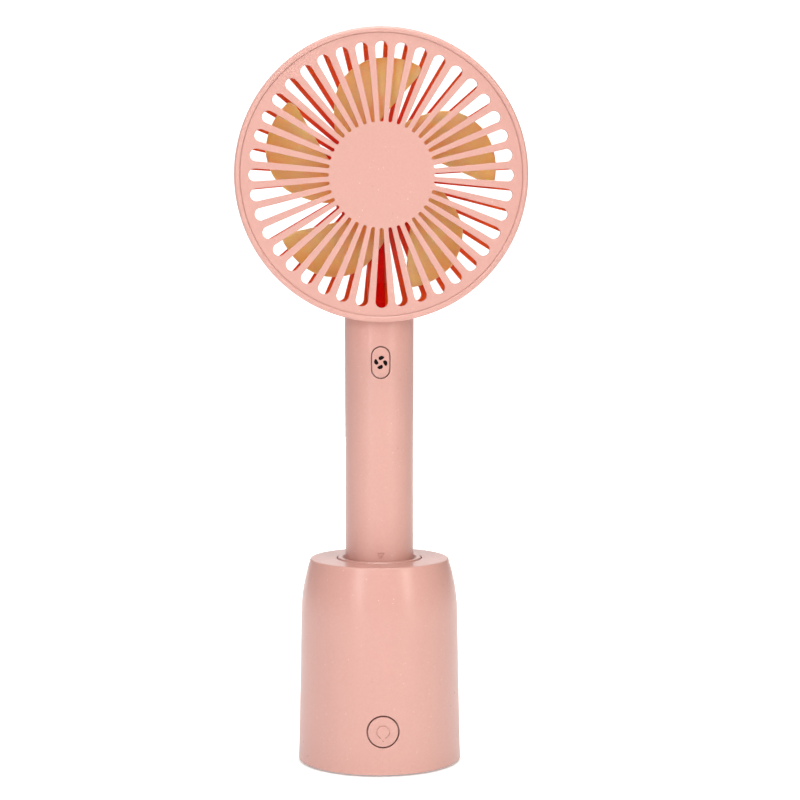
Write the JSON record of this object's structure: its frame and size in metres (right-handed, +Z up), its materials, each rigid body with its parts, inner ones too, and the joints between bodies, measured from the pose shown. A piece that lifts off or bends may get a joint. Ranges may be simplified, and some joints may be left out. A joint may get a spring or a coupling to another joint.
{
  "type": "handheld electric fan",
  "caption": "Handheld electric fan with a round slotted grille and bladed impeller, standing in a weighted charging dock that swings it from side to side.",
  "frame": {"origin": "on the floor, under the axis of the dock and handle", "axes": "+Z up along the handle; -Y the way the fan blows, with the buttons and the front grille; +X to the right of a person who looks at the front"},
  "size_m": [0.107, 0.0612, 0.2737],
  "materials": {
    "pink_shell": "satin moulded plastic",
    "red_plastic": "satin moulded plastic",
    "orange_plastic": "satin moulded plastic",
    "black_ink": "matte print",
    "pink_inner": "matte moulded plastic",
    "foot_rubber": "matte rubber",
    "white_plastic": "matte moulded plastic",
    "black_plastic": "matte moulded plastic",
    "circuit_board": "solder mask",
    "screw_steel": "zinc plated",
    "plated_steel": "nickel plated",
    "ballast_iron": "zinc plated",
    "bush_bronze": "sintered bronze",
    "gold_contacts": "gold plated",
    "copper_wire": "enamelled wire",
    "core_steel": "laminated steel",
    "motor_aluminium": "machined",
    "cell_wrap": "shrink-wrapped cell, given aluminium's density so that it weighs about 45 g",
    "lead_insulation": "silicone wire"
  },
  "bodies": {
    "base": {"base_shell": "pink_shell", "base_plate": "white_plastic", "foot_ring": "foot_rubber", "base_plate_screws": "screw_steel", "ballast_weight": "ballast_iron", "base_board": "circuit_board", "base_board_chips": "black_plastic", "base_board_screws": "screw_steel", "usb_socket": "plated_steel", "usb_tongue": "black_plastic", "base_switch": "black_plastic", "chassis_plate": "white_plastic", "chassis_screws": "screw_steel", "pivot_bush": "bush_bronze", "swing_motor": "plated_steel", "swing_motor_screws": "screw_steel"},
    "base_key": {"base_button": "pink_shell", "base_switch_plunger": "white_plastic"},
    "drive": {"swing_motor_shaft": "plated_steel", "drive_pinion": "white_plastic"},
    "turntable": {"turntable_gear": "white_plastic", "gear_screws": "screw_steel", "pivot_clip": "screw_steel", "turntable_cup": "pink_inner", "turntable_ring": "pink_shell", "contact_block": "white_plastic", "contact_pins": "gold_contacts", "swing_lead": "lead_insulation"},
    "fan_unit": {"handle_tube": "pink_shell", "handle_bottom_cap": "pink_shell", "bottom_cap_screws": "screw_steel", "charging_contacts": "gold_contacts", "charge_leads": "lead_insulation", "inner_frame": "white_plastic", "battery_cell": "cell_wrap", "battery_tabs": "plated_steel", "control_board": "circuit_board", "control_board_chips": "black_plastic", "power_switch": "black_plastic", "neck_plug": "white_plastic", "neck_screws": "screw_steel", "rear_housing": "pink_shell", "channel_cover": "red_plastic", "front_grille": "pink_shell", "motor_base": "motor_aluminium", "motor_screws": "screw_steel", "bearing_bushes": "bush_bronze", "motor_board": "circuit_board", "stator_core": "core_steel", "stator_coils": "copper_wire", "motor_leads": "lead_insulation"},
    "power_key": {"power_button": "pink_shell", "button_icon": "black_ink", "power_switch_plunger": "white_plastic"},
    "impeller": {"impeller": "orange_plastic", "rotor_cup": "plated_steel", "magnet_ring": "core_steel", "motor_shaft": "plated_steel", "shaft_clip": "screw_steel"}
  },
  "joints": [
    {"name": "turntable_swing", "type": "hinge", "parent": "base", "child": "turntable", "pos_m": [0, 0, 0.0415], "axis": [0, 0, 1], "range_deg": [-30, 30]},
    {"name": "pinion_spin", "type": "hinge", "parent": "base", "child": "drive", "pos_m": [0.0135, 0, 0.0415], "axis": [0, 0, 1], "range_deg": [-90, 90]},
    {"name": "fan_lift", "type": "slide", "parent": "turntable", "child": "fan_unit", "axis": [0, 0, 1], "range_m": [0, 0.06]},
    {"name": "impeller_spin", "type": "hinge", "parent": "fan_unit", "child": "impeller", "pos_m": [0, 0, 0.2202], "axis": [0, -1, 0], "continuous": true},
    {"name": "power_button_press", "type": "slide", "parent": "fan_unit", "child": "power_key", "axis": [0, 1, 0], "range_m": [0, 0.0006], "stiffness_N_per_m": 800, "springref_m": -0.0004},
    {"name": "base_button_press", "type": "slide", "parent": "base", "child": "base_key", "axis": [0, 1, 0], "range_m": [0, 0.0006], "stiffness_N_per_m": 800, "springref_m": -0.0004}
  ],
  "couplings": [
    {"joint": "pinion_spin", "follows": "turntable_swing", "ratio": -2.8571}
  ]
}
